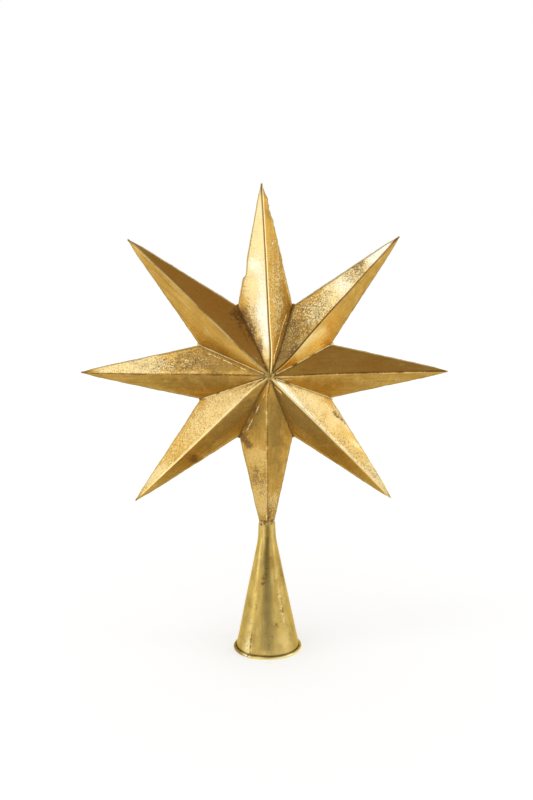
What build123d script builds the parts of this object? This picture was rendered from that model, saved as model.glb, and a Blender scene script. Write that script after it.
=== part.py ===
from build123d import *

import os
from math import asin, atan2, cos, degrees, hypot, radians, sin, sqrt, tan

# Tree topper star: eight rays folded from thin brass sheet, soldered into a hollow
# star with a front and a back half, on a rolled cone that slips over a tree's top shoot.
# Millimetres. The origin is the centre of the cone's mouth, +Z is up, the front faces -Y.

# Star
ray_count = 8
tip_radius = 120.0  # star centre to the rounded end of a ray
corner_radius = 46.4  # star centre to the notch between two rays
half_depth = 23.0  # mid plane to the middle of the front, and to that of the back
star_sheet = 0.6  # thickness of the folded sheet
ridge_bend = 1.0  # outer radius of the ridge fold at the star's centre, running out at the tip

# Lap flanges, one on each ray, turned onto the next ray along the valley between them
lap_width = 3.0
lap_from_apex = 8.0
lap_from_corner = 3.4

# Solder
tip_round = 1.3  # radius of the bead that closes a ray's tip
seam_radius = 0.55  # bead along the edges where a front and a back ray meet
corner_bead_radius = 1.6
button_radius = 3.6  # blob over the meeting point of the ridges
neck_fillet_height = 2.2
neck_fillet_inset = 1.4
neck_plug_depth = 2.0

# Cone socket
rim_radius = 23.1  # outside of the wired edge
rim_flat = 0.15  # the edge is worn flat by this much where it stands
cone_sheet = 0.5
wire_radius = 0.6  # bend of the lower edge round its wire
wire_clearance = 0.03
curl_angle = 284.0  # how far the sheet goes round the wire
shoulder_height = 76.4  # where the cone turns into the neck
shoulder_bend = 9.0
neck_length = 10.4
neck_radius = 6.05  # outside, at the shoulder
mouth_radius = 5.6  # outside, at the neck's upper end, which is crimped on the lowest ray
mouth_clearance = 0.1  # between the crimped end and the edges of the ray in it
lap_edge_angle = 233.0  # side seam of the cone, from +X towards +Y
lap_fade = 84.0  # turn over which the outer leaf of the side seam comes down to the sheet
curl_slit = 0.5  # gap between the two ends of the rolled edge

# Ray geometry that follows: X along the ray from the star's centre, Z away from the mid plane
sector = radians(180 / ray_count)  # half of a ray's share of the circle
corner_along = corner_radius * cos(sector)
corner_across = corner_radius * sin(sector)
tip_centre = tip_radius - tip_round
edge_angle = atan2(corner_across, tip_centre - corner_along) - asin(
    tip_round / hypot(tip_centre - corner_along, corner_across)
)
ray_reach = corner_along + corner_across / tan(edge_angle)  # where the two edges would meet
root_width = corner_across + corner_along * tan(edge_angle)  # half width at the star's centre
facet_distance = 1 / sqrt(1 / ray_reach**2 + 1 / root_width**2 + 1 / half_depth**2)
inside_share = 1 - star_sheet / facet_distance  # inner faces are the outer ones drawn in
valley_length = hypot(corner_radius, half_depth)

# Cone geometry that follows
bead_radius = wire_radius + cone_sheet
wire_ring_radius = rim_radius - bead_radius
wire_height = bead_radius - rim_flat
neck_top = shoulder_height + neck_length
mouth_bore = mouth_radius - cone_sheet

# The lowest ray goes down into the neck until its edges wedge in the mouth
ray_in_mouth = ray_reach - (mouth_bore - mouth_clearance) / tan(edge_angle)
star_height = neck_top + ray_in_mouth


def ridge_roof(share):
    """Roof with a rounded ridge along the ray, drawn in by share, from behind the centre to the tip."""
    reach = ray_reach * share
    back = button_radius
    size = share * (1 + back / reach)
    gable = Polygon(
        (-root_width * size, 0), (root_width * size, 0), (0, half_depth * size), align=None
    )
    gable = fillet(gable.vertices().sort_by(Axis.Y)[-1], ridge_bend * size)
    return loft([Plane.YZ.offset(-back) * gable, Vertex(reach, 0, 0)], ruled=True)


def ray_wedge(length):
    """A ray's share of the circle, on both sides of the mid plane."""
    half = length * tan(sector)
    return extrude(
        Polygon((0, 0), (length, -half), (length, half), align=None), 2 * half_depth, both=True
    )


def ray_block():
    """Half a ray as a full solid, from the mid plane to the outer faces of the sheet."""
    return ridge_roof(1) & ray_wedge(tip_centre)


def edge_seam():
    """Solder along both outer edges of a ray in the mid plane, with the bead that closes its tip."""
    inset_reach = ray_reach - seam_radius / sin(edge_angle)
    solder = Pos(tip_centre, 0, 0) * Sphere(tip_round)
    for side in (-1, 1):
        start = Vector(0, side * inset_reach * tan(edge_angle), 0)
        run = Vector(tip_centre, side * (inset_reach - tip_centre) * tan(edge_angle), 0) - start
        bead = Cylinder(seam_radius, run.length, align=(Align.CENTER, Align.CENTER, Align.MIN))
        solder = solder + Plane(origin=start, z_dir=run) * bead
    return solder & ray_wedge(2 * tip_radius)


def lap_flange():
    """Strip along the valley on the ray's left, lying on the next ray's outer face."""
    apex = Vector(0, 0, half_depth)
    along = (Vector(corner_along, corner_across, 0) - apex).normalized()
    own_normal = Vector(1 / ray_reach, 1 / root_width, 1 / half_depth).normalized()
    to_next = Vector(-sin(sector), cos(sector), 0)
    next_normal = own_normal - to_next * (2 * own_normal.dot(to_next))
    root = max(star_sheet / tan(radians(own_normal.get_angle(next_normal))), 0)
    face = Plane(origin=apex, x_dir=along, z_dir=next_normal)
    side = 1 if face.y_dir.dot(to_next) > 0 else -1
    outer_end = valley_length - lap_from_corner
    strip = Polygon(
        (lap_from_apex, -root * side),
        (outer_end, -root * side),
        (outer_end - lap_width, lap_width * side),
        (lap_from_apex + 2 * lap_width, lap_width * side),
        align=None,
    )
    return extrude(face * strip, star_sheet)


def corner_bead(block, seam, flange):
    """Solder blob in the notch on the ray's left, on the outside of the two rays there."""
    next_ray = Rot(0, 0, degrees(2 * sector))
    other_half = Rot(180, 0, 0)
    blob = Pos(corner_along, corner_across, 0) * Sphere(corner_bead_radius)
    blob = blob - block - next_ray * block
    blob = blob - other_half * block - next_ray * other_half * block
    blob = blob - seam - next_ray * seam
    return blob - flange - next_ray * other_half * flange


def centre_button():
    """Solder dome over the point where the ridges meet, seated in the valleys."""
    edge_height = half_depth * (1 - button_radius / corner_radius)
    floor_height = edge_height - star_sheet
    sides = Polyline(
        (0, half_depth), (0, floor_height), (button_radius, floor_height), (button_radius, edge_height)
    )
    crown = ThreePointArc(
        (button_radius, edge_height),
        (button_radius / 2, (edge_height + 3 * half_depth) / 4),
        (0, half_depth),
    )
    dome = revolve(Plane.XZ * make_face([sides, crown]), Axis.Z)
    slice_of_dome = (dome & ray_wedge(2 * button_radius)) - ridge_roof(1)
    button = slice_of_dome
    for turn in range(1, ray_count):
        button = button + Rot(0, 0, degrees(2 * sector * turn)) * slice_of_dome
    return button


def ray_plane(turn, outward):
    """Where a ray goes: turn 0 points down, outward is -1 on the front and 1 on the back."""
    angle = radians(360 / ray_count * turn - 90)
    return Plane(
        origin=(0, 0, star_height), x_dir=(cos(angle), 0, sin(angle)), z_dir=(0, outward, 0)
    )


def wall_foot(depth):
    """Lean of the cone's wall and the point where it meets the curl, at a depth in the sheet."""
    wire = Vector(wire_ring_radius, wire_height)
    down = wire - Vector(neck_radius - depth, shoulder_height)
    lean = atan2(down.X, -down.Y) - asin((wire_radius + depth) / down.length)
    return lean, wire - Vector(cos(lean), sin(lean)) * (wire_radius + depth)


def cone_line(depth):
    """Section of the cone from the neck's mouth down and round the wire, at a depth in the sheet."""
    lean, foot = wall_foot(depth)
    wall = FilletPolyline(
        (mouth_radius - depth, neck_top),
        (neck_radius - depth, shoulder_height),
        (foot.X, foot.Y),
        radius=shoulder_bend + depth,
    )
    curl = CenterArc(
        (wire_ring_radius, wire_height), wire_radius + depth, 180 + degrees(lean), curl_angle
    )
    return wall + curl


def seam_leaf():
    """Outer leaf of the cone's side seam: a full sheet proud at its edge, running out round the cone."""
    lean, foot = wall_foot(0)
    low = wire_height + bead_radius + cone_sheet
    high = shoulder_height - shoulder_bend / 2
    low_radius = foot.X - (low - foot.Y) * tan(lean)
    high_radius = foot.X - (high - foot.Y) * tan(lean)
    outline = Polygon((0, low), (low_radius, low), (high_radius, high), (0, high), align=None)
    wall = revolve(Plane.XZ * outline, Axis.Z)
    turned = Rot(0, 0, lap_edge_angle)
    share = revolve(
        Plane.XZ * Rectangle(rim_radius, shoulder_height, align=Align.MIN),
        Axis.Z,
        revolution_arc=lap_fade,
    )
    return (turned * (Pos(cone_sheet, 0, 0) * wall & share)) - wall


def curl_gap():
    """Space between the two ends of the rolled edge, at the side seam."""
    gap = Box(
        rim_radius, curl_slit, 4 * bead_radius, align=(Align.MIN, Align.CENTER, Align.CENTER)
    )
    return Rot(0, 0, lap_edge_angle) * Pos(wall_foot(0)[1].X, 0, 0) * gap


def socket_cone():
    """Rolled sheet cone with its neck, its side seam and its lower edge rolled round a wire."""
    outside = cone_line(0)
    inside = cone_line(cone_sheet)
    ends = [Line(outside @ 0, inside @ 0), Line(outside @ 1, inside @ 1)]
    section = make_face([*outside.edges(), *inside.edges(), *ends])
    cone = revolve(Plane.XZ * section, Axis.Z)
    ground = Pos(0, 0, -rim_radius) * Box(4 * rim_radius, 4 * rim_radius, 2 * rim_radius)
    return cone - ground + seam_leaf() - curl_gap()


def rim_wire():
    """Wire inside the rolled edge, with its two ends facing each other at the side seam."""
    ring = Torus(wire_ring_radius, wire_radius - wire_clearance)
    return Pos(0, 0, wire_height) * ring - curl_gap()


def neck_solder(stem):
    """Solder that fills the neck's mouth round the lowest ray and rises on the ray's faces."""
    section = Polygon(
        (0, neck_top - neck_plug_depth),
        (mouth_bore, neck_top - neck_plug_depth),
        (mouth_bore, neck_top),
        (mouth_radius, neck_top),
        (mouth_radius - neck_fillet_inset, neck_top + neck_fillet_height),
        (0, neck_top + neck_fillet_height),
        align=None,
    )
    fill = revolve(Plane.XZ * section, Axis.Z)
    for piece in stem:
        fill = fill - piece
    return fill


def pieces():
    """Every node's name with its shapes."""
    block = ray_block()
    seam = edge_seam()
    flange = lap_flange()
    ray = block - ridge_roof(inside_share) - seam + flange
    bead = corner_bead(block, seam, flange)
    button = centre_button()
    named = {}
    for half, outward in (("front", -1), ("back", 1)):
        for turn in range(ray_count):
            named[f"{half}_ray_{turn + 1}"] = [ray_plane(turn, outward) * ray]
        named[f"{half}_centre_solder"] = [ray_plane(0, outward) * button]
    ways = [ray_plane(turn, -1) for turn in range(ray_count)]
    named["edge_solder"] = [way * seam for way in ways]
    named["corner_solder"] = [way * bead for way in ways]
    stem = [ray_plane(0, -1) * block, ray_plane(0, 1) * block, ray_plane(0, -1) * seam]
    named["neck_solder"] = [neck_solder(stem)]
    named["socket_cone"] = [socket_cone()]
    named["rim_wire"] = [rim_wire()]
    return named


os.makedirs("parts", exist_ok=True)
for name, shapes in pieces().items():
    solids = [solid for shape in shapes for solid in shape.solids()]
    node = solids[0] if len(solids) == 1 else Compound(children=solids)
    export_step(node, f"parts/{name}.step")
print(f"star centre at {star_height:.2f}, full height {star_height + tip_radius:.2f}")
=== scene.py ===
import math

import bpy
import numpy as np
from mathutils import Matrix, Vector, noise


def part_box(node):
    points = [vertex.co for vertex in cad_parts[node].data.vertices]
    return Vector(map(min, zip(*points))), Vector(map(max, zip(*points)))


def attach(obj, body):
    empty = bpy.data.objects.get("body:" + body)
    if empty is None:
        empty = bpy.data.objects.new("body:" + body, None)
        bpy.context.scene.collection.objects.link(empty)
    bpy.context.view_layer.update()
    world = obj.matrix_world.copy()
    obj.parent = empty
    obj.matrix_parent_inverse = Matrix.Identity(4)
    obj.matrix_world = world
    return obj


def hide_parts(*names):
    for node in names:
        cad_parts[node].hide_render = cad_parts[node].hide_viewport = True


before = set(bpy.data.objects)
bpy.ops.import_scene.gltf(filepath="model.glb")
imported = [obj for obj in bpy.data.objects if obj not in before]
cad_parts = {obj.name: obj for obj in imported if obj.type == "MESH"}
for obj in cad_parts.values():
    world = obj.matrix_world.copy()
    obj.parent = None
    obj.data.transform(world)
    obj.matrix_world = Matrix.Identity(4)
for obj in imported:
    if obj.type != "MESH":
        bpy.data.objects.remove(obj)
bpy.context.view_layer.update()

MM = 0.001
FRONT, BACK = -1, 1  # the star's halves, by the sign of y

# Star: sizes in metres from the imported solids, and the few that the solids don't show by their boxes
RAYS = 8
SECTOR = math.pi / RAYS
seam_low, seam_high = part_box("edge_solder")
TIP_RADIUS = (seam_high.x - seam_low.x) / 2
STAR_Z = (seam_high.z + seam_low.z) / 2
TIP_ROUND = seam_high.y
HALF_DEPTH = 23.0 * MM
corner_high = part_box("corner_solder")[1]
CORNER_BEAD = corner_high.y
CORNER_ALONG = corner_high.x - CORNER_BEAD
CORNER_ACROSS = CORNER_ALONG * math.tan(SECTOR)
CORNER_REACH = CORNER_ALONG / math.cos(SECTOR)
SHEET = 0.6 * MM
SEAM = 0.55 * MM
FOLD = 0.4 * MM  # rounding of the ridge at the star's centre

# Ray geometry that follows: x along the ray, y to its left, z away from the mid plane
TIP_CENTRE = TIP_RADIUS - TIP_ROUND
EDGE_ANGLE = math.atan2(CORNER_ACROSS, TIP_CENTRE - CORNER_ALONG) - math.asin(
    TIP_ROUND / math.hypot(TIP_CENTRE - CORNER_ALONG, CORNER_ACROSS)
)
REACH = CORNER_ALONG + CORNER_ACROSS / math.tan(EDGE_ANGLE)
ROOT_WIDTH = CORNER_ACROSS + CORNER_ALONG * math.tan(EDGE_ANGLE)
FACET_NORMAL = Vector((1 / REACH, 1 / ROOT_WIDTH, 1 / HALF_DEPTH)).normalized()
SHEET_DROP = SHEET / FACET_NORMAL.z

# Lap flanges
LAP_WIDTH = 3.0 * MM
LAP_FROM_APEX = 8.0 * MM
LAP_FROM_CORNER = 3.4 * MM

# Cone socket
cone_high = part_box("socket_cone")[1]
wire_low, wire_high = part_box("rim_wire")
RIM_RADIUS = cone_high.x
NECK_TOP = cone_high.z
MOUTH_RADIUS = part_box("neck_solder")[1].x
NECK_RADIUS = 6.05 * MM
SHOULDER_Z = 76.4 * MM
SHOULDER_BEND = 8 * MM  # the wall bends into the neck within this height above and below
CONE_SHEET = 0.5 * MM
WIRE_RADIUS = 0.6 * MM
WIRE_Z = (wire_low.z + wire_high.z) / 2
WIRE_RING = RIM_RADIUS - WIRE_RADIUS - CONE_SHEET
CURL_TURN = math.radians(284)
CURL_END = math.radians(24)  # the curl's end stands off over this turn
LAP_EDGE = math.radians(233)  # side seam, from +X towards +Y
LAP_FADE = math.radians(84)
CURL_SLIT = 0.5 * MM

# Faces that meet at more than this angle keep a sharp fold between them
SHARP_FOLD = math.radians(40)

# Rays by number, counter-clockwise from the lowest one
NAMES = ("bottom", "lower_right", "right", "upper_right", "top", "upper_left", "left", "lower_left")

# Painted highlight line and painted shade line along each ray's ridge: 1 runs all the way, less is broken
RIDGE_PAINTED_LINES = {
    "bottom": (0.47, 0.5),
    "lower_right": (1.0, 0.0),
    "right": (0.5, 0.52),
    "upper_right": (0.32, 0.8),
    "top": (0.75, 0.8),
    "upper_left": (0.62, 0.2),
    "left": (0.42, 0.5),
    "lower_left": (0.6, 0.0),
}

# Hand work: how far each tip is off its true place, to its left and outwards, in mm
OFF_TRUE = {
    "lower_right": (-2.3, -0.2),
    "right": (-1.4, -0.2),
    "upper_right": (0.0, 2.2),
    "top": (2.1, 0.0),
    "upper_left": (1.3, 2.4),
    "left": (-0.9, -0.2),
    "lower_left": (-1.4, 1.8),
}

# How far off the true centre the ridges of each half meet
APEX_OFF = {FRONT: np.array((1.6, 0, 0)) * MM, BACK: np.array((-0.7, 0, 0.4)) * MM}

# The front's sheet is pushed aside in one place: where in x and z, how wide, and the push
PUSHED_X, PUSHED_Z, PUSHED_WIDTH = 14 * MM, 12 * MM, 18 * MM
PUSH = np.array((0.7, 0, -0.7)) * MM

# How far to its left each ridge runs off the line from the middle to the tip, in mm
RIDGE_OFF = {
    "bottom": -1.6,
    "lower_right": -0.4,
    "upper_right": -1.0,
    "top": -0.8,
    "upper_left": 1.0,
    "left": -0.8,
    "lower_left": -1.5,
}

# Outer edges: how rough they are, in mm, how much more so on the top ray's right and from where, and
# how far they are drawn in at the tips
EDGE_ROUGH, RAGGED_ROUGH = 0.22, 0.75
RAGGED_START, RAGGED_FULL = 66 * MM, 84 * MM
EDGE_TAPER = 0.5 * MM

# Bite out of the top ray's left edge: places along the ray, and depth
BITE_START, BITE_DEEPEST, BITE_END = 60 * MM, 62 * MM, 74 * MM
BITE_DEPTH = 1.3 * MM

# How bright the free edge of the lap strip on each ray is: rubbed wear with a painted highlight
LAP_SHINE = {"bottom": 0.9, "top": 0.95, "left": 0.9, "lower_left": 0.2}

# Rays whose tip is rubbed bright, and those with a bright lump in the notch after them, a painted
# highlight
BRIGHT_TIPS = ("lower_right", "right")
BRIGHT_NOTCHES = ("lower_right", "right", "upper_left")

# Solder along the valley after each ray: broken glints of painted highlight where listed, dark brown
# elsewhere
BRIGHT_VALLEYS = {"lower_right": 0.9, "right": 1.0, "upper_left": 1.0, "left": 0.9}

# Lumps of solder on the neck: angle from +X in degrees, height over its mouth and size in mm, darkness
NECK_LUMPS = ((226, 0.1, 1.0, 1.0), (252, 0.9, 0.8, 0.7), (300, 0.4, 0.9, 0.2), (60, 0.3, 1.0, 0.8))

# Where the old leaf shows which kind of wear, ray by ray: place along and across the ray, half length
# and half width of the patch in mm, strength. A patch stays on its own side of the ridge. Pale beyond
# 1 is whiter and warm beyond 1 is brighter, on the front only. The patches are partly the leaf's own
# colour and wear and partly painted light: some pale and warm ones paint highlights, and some umber,
# olive and brown ones paint shade on facets and along valleys.
PATCHES = {
    "bottom": {
        "brown": (
            (43, -15.5, 5, 3.5, 0.85), (48, -11, 3.5, 3.5, 0.75), (20, -7, 9, 2.2, 0.7),
            (31, -11.5, 8, 2.2, 0.75), (67, -6, 10, 6, 0.5), (90, 3, 7, 4, 0.3), (95, 0.5, 5, 1.4, 0.8),
        ),
        "pale": ((55, -7, 8, 8, 0.75), (84, -4, 12, 7, 0.8), (86, 4, 9, 5, 0.55)),
        "warm": ((58, -7, 14, 8, 1.0), (84, -4, 14, 7, 0.8), (86, 4, 10, 5, 0.6)),
        "crackle": ((56, -7, 7, 6, 0.35), (68, -6, 7, 8, 0.9), (79, -4, 7, 4, 0.65), (94, 3, 9, 5, 0.9)),
        "olive": ((24, -7, 20, 9, 0.9), (26, 5, 22, 8, 0.7), (58, 6, 28, 9, 0.55)),
        "umber": ((45, 7, 45, 9, 0.35),),
    },
    "lower_right": {
        "pale": (
            (15, 1.2, 14, 1.6, 1.9), (54, 0.7, 26, 0.9, 1.6), (62, 7, 50, 9, 0.95), (72, 4, 12, 6, 0.5),
            (104, 2, 14, 4, 0.8),
        ),
        "warm": ((46, 10, 20, 6, 0.5), (77, 8, 16, 3, 1.3), (66, 2.5, 34, 3, 0.75)),
        "crackle": ((66, 2.5, 46, 4.5, 0.65), (98, 4, 12, 5, 0.25)),
        "brown": ((51, 12.3, 3.5, 2, 0.7), (57, 12.3, 5, 1.3, 0.75)),
        "olive": ((22, -6, 26, 9, 1.0), (62, -5, 30, 8, 0.6)),
        "umber": ((50, -5, 60, 10, 0.35),),
    },
    "right": {
        "umber": ((50, 6, 90, 16, 0.68), (30, -6, 40, 10, 0.45)),
        "olive": ((40, -6, 50, 9, 0.48),),
        "pale": ((80, -4, 20, 5, 0.3),),
        "warm": ((14, 4, 10, 5, 0.5),),
    },
    "upper_right": {
        "olive": ((16, 5, 18, 9, 1.0), (34, 12, 22, 6, 0.55), (82, -4, 26, 7, 0.42)),
        "brown": (
            (15, 4.5, 7, 2.5, 0.7), (26, 9, 7, 2.2, 0.5), (88, 6.5, 7, 3, 0.6), (22, 1.6, 6, 1.2, 1.0),
        ),
        "crackle": ((42, 8, 28, 11, 0.95), (86, 5, 8, 6, 0.95)),
        "pale": (
            (48, 6, 12, 9, 0.6), (73, 5, 12, 9, 1.5), (104, 2.5, 13, 6, 2.2), (34, -6, 22, 8, 0.35),
            (26, -8, 14, 4, 0.8),
        ),
        "warm": ((32, -6, 25, 10, 1.9),),
    },
    "top": {
        "pale": (
            (46, 2, 22, 4, 0.8), (60, 5, 26, 7, 0.55), (22, 2, 10, 3, 1.3), (37, 5, 9, 5, 1.0),
            (54, 11, 12, 5, 0.4), (85, 3, 25, 6, 0.7), (107, 2, 12, 4, 0.8), (69, 9, 6, 4, 0.9),
            (50, -6, 42, 10, 0.45),
        ),
        "brown": ((17, 5.5, 6, 2, 0.95), (27, 9.5, 6, 2.2, 1.1), (37, 13.8, 6, 2.4, 1.2)),
        "olive": ((30, 10.5, 14, 4, 0.9),),
        "crackle": ((30, 10.5, 16, 5, 0.9), (52, -7, 24, 6, 0.45)),
        "umber": ((96, -3, 26, 5, 0.3),),
    },
    "upper_left": {
        "umber": ((50, -7, 90, 16, 0.9),),
        "brown": ((24, -8.5, 10, 2.6, 0.6), (37, -13, 9, 4, 0.72)),
        "pale": ((80, 4, 25, 6, 0.2),),
        "warm": ((40, 6, 40, 9, 0.3), (20, 4, 14, 6, 0.8)),
    },
    "left": {
        "olive": ((34, -8, 28, 10, 1.0), (44, 6, 55, 9, 0.72)),
        "umber": ((30, -8, 24, 10, 0.6), (32, 7, 40, 10, 0.4)),
        "crackle": ((50, -7, 16, 9, 0.65), (74, -5, 24, 8, 0.55)),
        "pale": ((79, -5, 20, 9, 0.85), (104, -2, 10, 4, 0.5)),
        "warm": ((84, -4, 26, 8, 0.3),),
        "brown": ((50, -10, 8, 4, 0.4),),
    },
    "lower_left": {
        "pale": ((40, -6, 40, 10, 0.75), (42, -0.6, 34, 0.7, 1.0), (100, -3, 15, 5, 0.6)),
        "warm": ((50, -6, 60, 10, 0.6),),
        "crackle": ((55, -7, 45, 9, 0.45),),
        "olive": ((36, 6, 46, 9, 0.8),),
        "umber": ((45, 6, 50, 10, 0.35),),
        "brown": ((73, 6, 4, 5, 0.75),),
    },
}
BACK_SHIFT = 3  # a back ray takes the patches of the front ray this many places on
BACK_SEED = 20  # added to a ray's number for the unevenness of its back

# Spots on the cone: angle from +X in degrees, height in mm, half width in degrees, half length in mm,
# strength. Bright spots are painted highlights; olive spots are partly tarnish and partly painted shade.
CONE_SPOTS = {
    "brown": (
        (254, 48, 3.5, 1.3, 1.5), (258, 54, 9, 5, 0.6), (306, 31, 7, 2, 0.65), (292, 22, 9, 2, 0.8),
        (234, 12, 1.4, 10, 2.0), (240, 34, 5, 3, 0.7), (120, 30, 12, 4, 0.6), (20, 52, 14, 3, 0.5),
    ),
    "bright": (
        (249, 82, 9, 9, 1.0), (306, 82, 9, 9, 0.6), (272, 45, 15, 24, 0.45), (233, 65, 14, 14, 0.55),
        (226, 8, 11, 18, 1.1), (226, 4, 9, 6, 0.6), (270, 12, 32, 24, 0.45), (307, 6, 18, 12, 0.75),
    ),
    "olive": (
        (277, 82, 15, 9, 0.9), (270, 67, 22, 10, 0.4), (285, 20, 12, 6, 0.5), (240, 12, 5, 10, 0.5),
        (200, 0.5, 28, 1.6, 1.6), (312, 63, 26, 10, 0.6), (335, 50, 14, 26, 0.6), (60, 40, 30, 20, 0.6),
    ),
    "pale": (
        (303, 38, 7, 9, 1.6), (300, 52, 5, 4, 1.2), (309, 26, 4, 5, 1.5), (226, 5, 6, 4, 1.6),
        (90, 24, 20, 10, 0.5),
    ),
}


def like(turn, outward):
    """Name of the front ray whose wear a half ray has."""
    return NAMES[turn if outward == FRONT else (turn + BACK_SHIFT) % RAYS]


def spot(first, second):
    """Share of a soft oval patch at two offsets from its middle, in its half sizes."""
    return np.exp(-(first**2) - second**2)


def patch_shares(places, turn, outward):
    """How much of each kind of wear a point of a ray has."""
    x, y = places[..., 0] / MM, places[..., 1] / MM
    kinds = ("pale", "brown", "crackle", "olive", "warm", "umber")
    shares = {kind: np.zeros_like(x) for kind in kinds}
    for kind, patches in PATCHES[like(turn, outward)].items():
        for along, across, length, width, strength in patches:
            same_side = y * across >= 0
            shares[kind] += strength * spot((x - along) / length, (y - across) / width) * same_side
    most = {"pale": 2, "warm": 2} if outward == FRONT else {}
    return {kind: np.clip(value, 0, most.get(kind, 1)) for kind, value in shares.items()}


def grid(x, y, z):
    """Points with these coordinates, each an array or one number."""
    return np.stack(np.broadcast_arrays(x, y, z), -1)


def ripple(points, size, seed):
    """Smooth noise of the given feature size at each point, from -1 to 1."""
    shift = Vector((seed * 7.31, seed * 3.17, seed * 5.53))
    values = [noise.noise(Vector(p) / size + shift) for p in points.reshape(-1, 3)]
    return np.array(values).reshape(points.shape[:-1])


def smooth_step(value, low, high):
    """Share from 0 at low to 1 at high, smoothly."""
    share = np.clip((value - low) / (high - low), 0, 1)
    return share * share * (3 - 2 * share)


def plan_half(x, worn=0):
    """Half width of a ray in plan, less what its outer edge has lost."""
    return np.minimum(x * math.tan(SECTOR), (REACH - x) * math.tan(EDGE_ANGLE) - worn)


def ridge_shift(x, y, turn, outward):
    """Sideways shift of points beside a ridge that runs off its true line."""
    half = plan_half(x)
    beside = np.clip(1 - np.abs(y) / np.maximum(half, 0.1 * MM), 0, 1)
    off = RIDGE_OFF.get(like(turn, outward), 0) * MM * (1 - x / REACH)
    return off * beside * smooth_step(half, 0, 6 * MM)


def ray_angle(turn):
    """Direction of a ray in the star's plane, from +X towards +Z."""
    return 2 * SECTOR * turn - math.pi / 2


def to_row_frame(local, turn, outward):
    """Points of a ray's own frame in the row's frame, on the front or the back."""
    angle = ray_angle(turn)
    along = np.array((math.cos(angle), 0, math.sin(angle)))
    out = np.array((0, outward, 0))
    left = np.cross(out, along)
    x, y, z = local[..., :1], local[..., 1:2], local[..., 2:]
    lean, stretch = OFF_TRUE.get(NAMES[turn], (0, 0))
    bend = np.clip(x / REACH, 0, 1) ** 2
    ahead = (x + stretch * MM * bend) * along
    aside = (y - outward * lean * MM * bend + ridge_shift(x, y, turn, outward)) * left
    placed = ahead + aside + z * out + z / HALF_DEPTH * APEX_OFF[outward]
    if outward == FRONT:
        away = np.hypot(placed[..., :1] - PUSHED_X, placed[..., 2:] - PUSHED_Z) / PUSHED_WIDTH
        placed = placed + np.exp(-(away**2)) * PUSH
    return np.array((0, 0, STAR_Z)) + placed


def add_object(name, data):
    """New object in the scene."""
    made = bpy.data.objects.new(name, data)
    bpy.context.scene.collection.objects.link(made)
    return made


class Pile:
    """Vertices and faces of one piece, with what its material reads at each vertex."""

    def __init__(self):
        self.points, self.faces, self.count = [], [], 0
        self.marks = {"ray_place": [], "wear": [], "tint": [], "line": []}

    def add(self, points, faces, **marks):
        points = points.reshape(-1, 3)
        self.points.append(points)
        self.faces += [tuple(int(i) + self.count for i in face) for face in faces]
        for name, values in self.marks.items():
            values.append(np.broadcast_to(marks.get(name, 0.0), points.shape))
        self.count += len(points)

    def add_leaf(self, points, faces, place, turn, outward, rubbed_and_highlight=None):
        """Part of a gilt half ray, with the marks that its leaf needs."""
        place = np.concatenate((place.reshape(-1, 3), place.reshape(-1, 3)))
        place[:, 2] = turn
        share = patch_shares(place, turn, outward)
        wear = grid(share["pale"], share["brown"], share["crackle"])
        tint = grid(share["olive"], share["warm"], share["umber"])
        line = np.zeros_like(place)
        line[:, :2] = RIDGE_PAINTED_LINES[like(turn, outward)]
        if rubbed_and_highlight is not None:
            line[:, 2] = np.concatenate((rubbed_and_highlight, rubbed_and_highlight))
        points = to_row_frame(points, turn, outward)
        self.add(points, faces, ray_place=place, wear=wear, tint=tint, line=line)

    def make(self, name, material, slot, node):
        """The piece as an object that stands for its CAD node."""
        mesh = bpy.data.meshes.new(name)
        mesh.from_pydata(np.concatenate(self.points).tolist(), [], self.faces)
        for mark, values in self.marks.items():
            attribute = mesh.attributes.new(mark, "FLOAT_VECTOR", "POINT")
            attribute.data.foreach_set("vector", np.concatenate(values).astype(np.float32).ravel())
        mesh.shade_smooth()
        mesh.set_sharp_from_angle(angle=SHARP_FOLD)
        mesh.materials.append(material)
        piece = add_object(name, mesh)
        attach(piece, "root")
        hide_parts(node)


def slab(top, bottom):
    """Closed sheet between two grids of points: its vertices and faces."""
    rows, columns = top.shape[:2]
    size = rows * columns
    index = np.arange(size).reshape(rows, columns)
    quads = np.stack((index[:-1, :-1], index[1:, :-1], index[1:, 1:], index[:-1, 1:]), -1).reshape(-1, 4)
    rim = np.concatenate((index[:-1, 0], index[-1, :-1], index[:0:-1, -1], index[0, :0:-1]))
    follower = np.roll(rim, -1)
    walls = np.stack((follower, rim, rim + size, follower + size), -1)
    faces = np.concatenate((quads, quads[:, ::-1] + size, walls))
    return np.concatenate((top.reshape(-1, 3), bottom.reshape(-1, 3))), faces


def ring_faces(rings, sides):
    """Faces between closed rings of points."""
    faces = []
    for row in range(rings - 1):
        for column in range(sides):
            here, after = row * sides + column, row * sides + (column + 1) % sides
            faces.append((here, here + sides, after + sides, after))
    return faces


def tube(path, radii, side_axis, sides=10):
    """Closed tube along a path, round its own tangent: its vertices and faces."""
    tangent = np.gradient(path, axis=0)
    tangent /= np.linalg.norm(tangent, axis=1)[:, None]
    binormal = np.cross(tangent, side_axis)
    binormal /= np.linalg.norm(binormal, axis=1)[:, None]
    normal = np.cross(binormal, tangent)
    turn = np.linspace(0, 2 * math.pi, sides, endpoint=False)[None, :, None]
    ring = np.cos(turn) * normal[:, None] + np.sin(turn) * binormal[:, None]
    points = (path[:, None] + ring * radii[:, None, None]).reshape(-1, 3)
    faces = ring_faces(len(path), sides)
    last = (len(path) - 1) * sides
    faces.append(tuple(range(sides)))
    faces.append(tuple(last + i for i in reversed(range(sides))))
    return points, faces


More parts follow.
